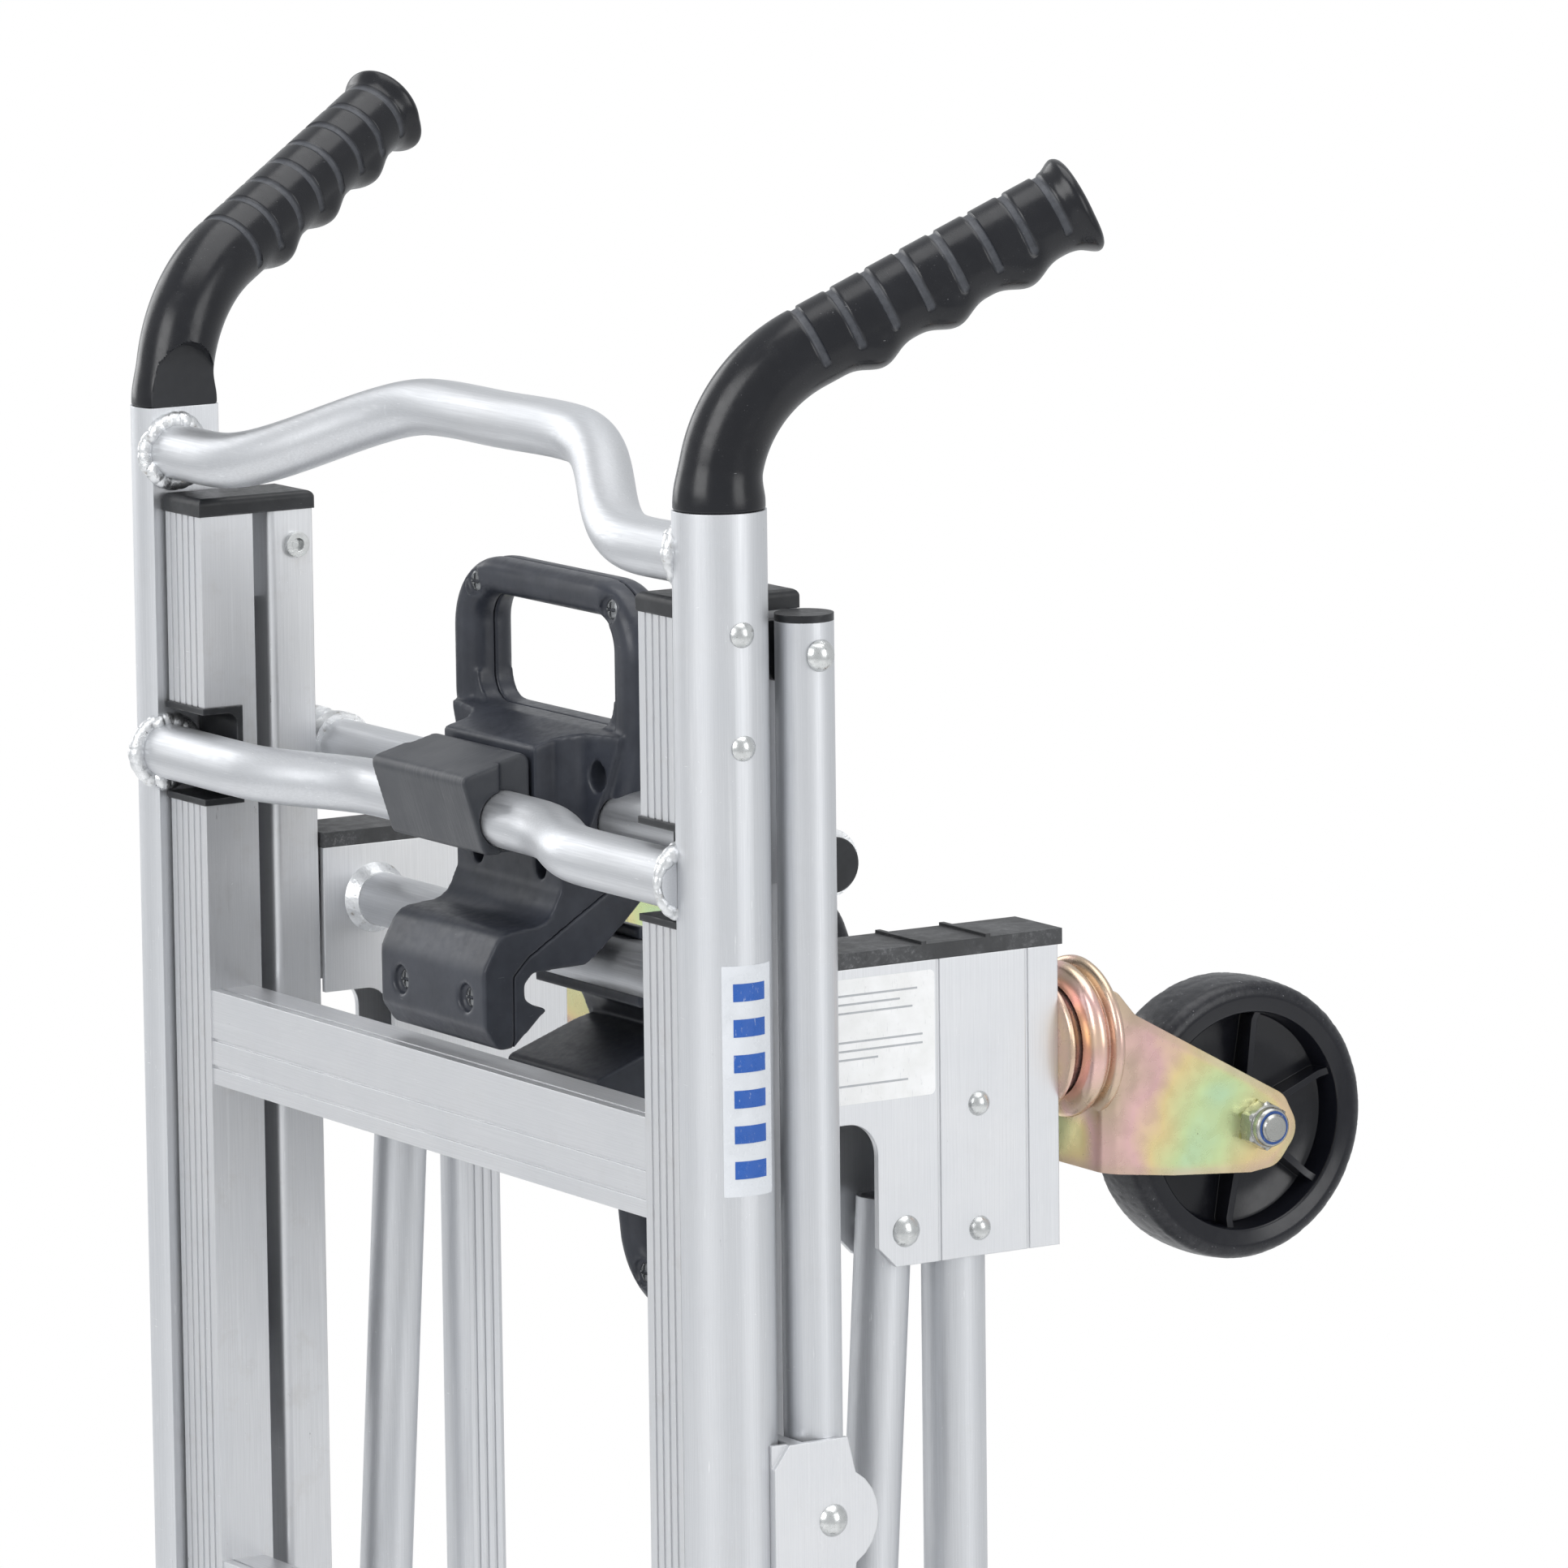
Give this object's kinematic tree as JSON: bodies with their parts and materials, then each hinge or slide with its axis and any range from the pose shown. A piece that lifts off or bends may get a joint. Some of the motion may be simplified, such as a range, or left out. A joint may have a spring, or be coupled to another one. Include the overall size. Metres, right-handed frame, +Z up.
{
  "type": "convertible hand truck",
  "caption": "Aluminium hand truck whose handle folds forward and whose caster frame swings out, so that it becomes a four-wheel cart",
  "frame": {"origin": "on the floor, midway across, in the plane of the rails' front (load) faces", "axes": "+X across to the right-hand rail as seen from the front, +Y rearward to the operator, +Z up along the rails"},
  "size_m": [0.537, 0.4713, 1.1965],
  "materials": {
    "rail_aluminium": "satin extruded aluminium with fine lengthwise grain and scuffs",
    "tube_aluminium": "satin drawn aluminium tube, scuffed",
    "weld_aluminium": "bright bare weld bead",
    "toe_aluminium": "worn aluminium plate",
    "zinc_fasteners": "zinc plated with a faint yellow tint",
    "black_screws": "black oxide",
    "yellow_zinc": "yellow chromate zinc, faintly iridescent",
    "axle_steel": "turned steel",
    "black_plastic": "moulded black",
    "slide_nylon": "black nylon",
    "latch_plastic": "moulded charcoal plastic, semi-matte, worn",
    "grip_vinyl": "dipped black vinyl, semi-gloss",
    "pad_rubber": "worn black rubber",
    "caster_polymer": "hard black polymer with a scuffed tread",
    "tyre_rubber": "black rubber tyre",
    "rim_paint": "black painted pressed steel"
  },
  "bodies": {
    "deck_frame": {"rail_right": "rail_aluminium", "rail_left": "rail_aluminium", "rail_caps": "black_plastic", "notch_liners": "black_plastic", "cross_members": "rail_aluminium", "rear_crossbar": "tube_aluminium", "rear_crossbar_welds": "weld_aluminium", "rear_crossbar_plugs": "black_plastic", "brace_pivot_blocks": "black_plastic", "brace_pivot_bolts": "zinc_fasteners", "toe_plate": "toe_aluminium", "toe_plate_rivets": "zinc_fasteners", "axle_brackets": "rail_aluminium", "main_axle": "axle_steel", "axle_spacers": "zinc_fasteners"},
    "handle_braces": {"brace_right": "tube_aluminium", "brace_left": "tube_aluminium", "brace_end_plugs": "black_plastic"},
    "handle_frame": {"handle_tube_right": "tube_aluminium", "handle_tube_left": "tube_aluminium", "handle_rivets": "zinc_fasteners", "grip_right": "grip_vinyl", "grip_left": "grip_vinyl", "top_grab_bar": "tube_aluminium", "lower_crossbar": "tube_aluminium", "handle_welds": "weld_aluminium", "brace_brackets": "rail_aluminium", "brace_lower_pins": "zinc_fasteners", "slide_blocks": "rail_aluminium", "slide_shoes": "slide_nylon", "latch_saddle": "latch_plastic"},
    "upper_latch": {"upper_latch_front_shell": "latch_plastic", "upper_latch_rear_shell": "latch_plastic", "upper_latch_screws": "black_screws"},
    "caster_frame": {"caster_bracket_right": "rail_aluminium", "caster_bracket_left": "rail_aluminium", "caster_bracket_pins": "zinc_fasteners", "bracket_pads": "pad_rubber", "caster_frame_tubes": "tube_aluminium", "caster_crossbar": "tube_aluminium", "caster_crossbar_welds": "weld_aluminium", "caster_frame_lugs": "rail_aluminium", "caster_raceways": "yellow_zinc"},
    "struts": {"strut_pair": "tube_aluminium"},
    "lower_latch": {"lower_latch_front_shell": "latch_plastic", "lower_latch_rear_shell": "latch_plastic", "lower_latch_screws": "black_screws"},
    "caster_fork_body_right": {"caster_fork_right": "yellow_zinc", "caster_axle_right": "zinc_fasteners"},
    "caster_wheel_body_right": {"caster_wheel_right": "caster_polymer"},
    "main_wheel_right": {"main_tyre_right": "tyre_rubber", "main_wheel_rim_right": "rim_paint", "main_wheel_bearings_right": "axle_steel"},
    "caster_fork_body_left": {"caster_fork_left": "yellow_zinc", "caster_axle_left": "zinc_fasteners"},
    "caster_wheel_body_left": {"caster_wheel_left": "caster_polymer"},
    "main_wheel_left": {"main_tyre_left": "tyre_rubber", "main_wheel_rim_left": "rim_paint", "main_wheel_bearings_left": "axle_steel"}
  },
  "joints": [
    {"name": "brace_fold", "type": "hinge", "parent": "deck_frame", "child": "handle_braces", "pos_m": [0, 0.039, 1.0353], "axis": [-1, 0, 0], "range_deg": [0, 78]},
    {"name": "handle_fold", "type": "hinge", "parent": "handle_braces", "child": "handle_frame", "pos_m": [0, 0.039, 0.7418], "axis": [1, 0, 0], "range_deg": [0, 156]},
    {"name": "upper_latch_pull", "type": "hinge", "parent": "deck_frame", "child": "upper_latch", "pos_m": [0, 0.058, 0.96], "axis": [-1, 0, 0], "range_deg": [0, 12]},
    {"name": "caster_frame_swing", "type": "hinge", "parent": "deck_frame", "child": "caster_frame", "pos_m": [0, 0.1545, 0.127], "axis": [-1, 0, 0], "range_deg": [0, 38]},
    {"name": "strut_swing", "type": "hinge", "parent": "caster_frame", "child": "struts", "pos_m": [0, 0.0868, 0.8308], "axis": [-1, 0, 0], "range_deg": [0, 7.98]},
    {"name": "lower_latch_pull", "type": "hinge", "parent": "caster_frame", "child": "lower_latch", "pos_m": [0, 0.0686, 0.9032], "axis": [1, 0, 0], "range_deg": [0, 12]},
    {"name": "caster_swivel_right", "type": "hinge", "parent": "caster_frame", "child": "caster_fork_body_right", "pos_m": [0.1635, 0.16, 0.8873], "axis": [0, 1, 0], "continuous": true},
    {"name": "caster_roll_right", "type": "hinge", "parent": "caster_fork_body_right", "child": "caster_wheel_body_right", "pos_m": [0.1635, 0.2293, 0.8527], "axis": [1, 0, 0], "continuous": true},
    {"name": "main_wheel_roll_right", "type": "hinge", "parent": "deck_frame", "child": "main_wheel_right", "pos_m": [0.226, 0.1545, 0.127], "axis": [1, 0, 0], "continuous": true},
    {"name": "caster_swivel_left", "type": "hinge", "parent": "caster_frame", "child": "caster_fork_body_left", "pos_m": [-0.1635, 0.16, 0.8873], "axis": [0, 1, 0], "continuous": true},
    {"name": "caster_roll_left", "type": "hinge", "parent": "caster_fork_body_left", "child": "caster_wheel_body_left", "pos_m": [-0.1635, 0.2293, 0.8527], "axis": [1, 0, 0], "continuous": true},
    {"name": "main_wheel_roll_left", "type": "hinge", "parent": "deck_frame", "child": "main_wheel_left", "pos_m": [-0.226, 0.1545, 0.127], "axis": [1, 0, 0], "continuous": true}
  ],
  "couplings": [
    {"joint": "handle_fold", "follows": "brace_fold", "ratio": 2},
    {"joint": "strut_swing", "follows": "caster_frame_swing", "ratio": 0.2087}
  ]
}
